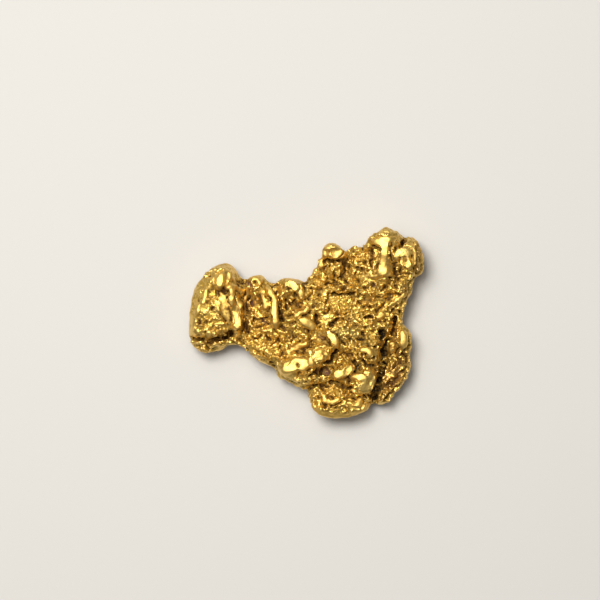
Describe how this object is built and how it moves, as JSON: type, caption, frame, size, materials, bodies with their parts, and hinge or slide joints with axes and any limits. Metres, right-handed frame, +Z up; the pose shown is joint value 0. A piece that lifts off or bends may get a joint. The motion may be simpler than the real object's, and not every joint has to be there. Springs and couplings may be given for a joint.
{
  "type": "gold nugget",
  "caption": "Natural flattened gold nugget with a rounded head, a narrow neck, a crumpled body, a crowned arm and a folded side flap.",
  "frame": {"origin": "under the middle of the nugget's box, on the surface it lies on", "axes": "+X from the rounded head towards the flap and the crowned arm, +Y towards the crown, +Z up, away from the surface it lies on"},
  "size_m": [0.022, 0.0178, 0.0053],
  "materials": {
    "gold": null
  },
  "bodies": {
    "root": {"nugget": "gold"}
  },
  "joints": []
}
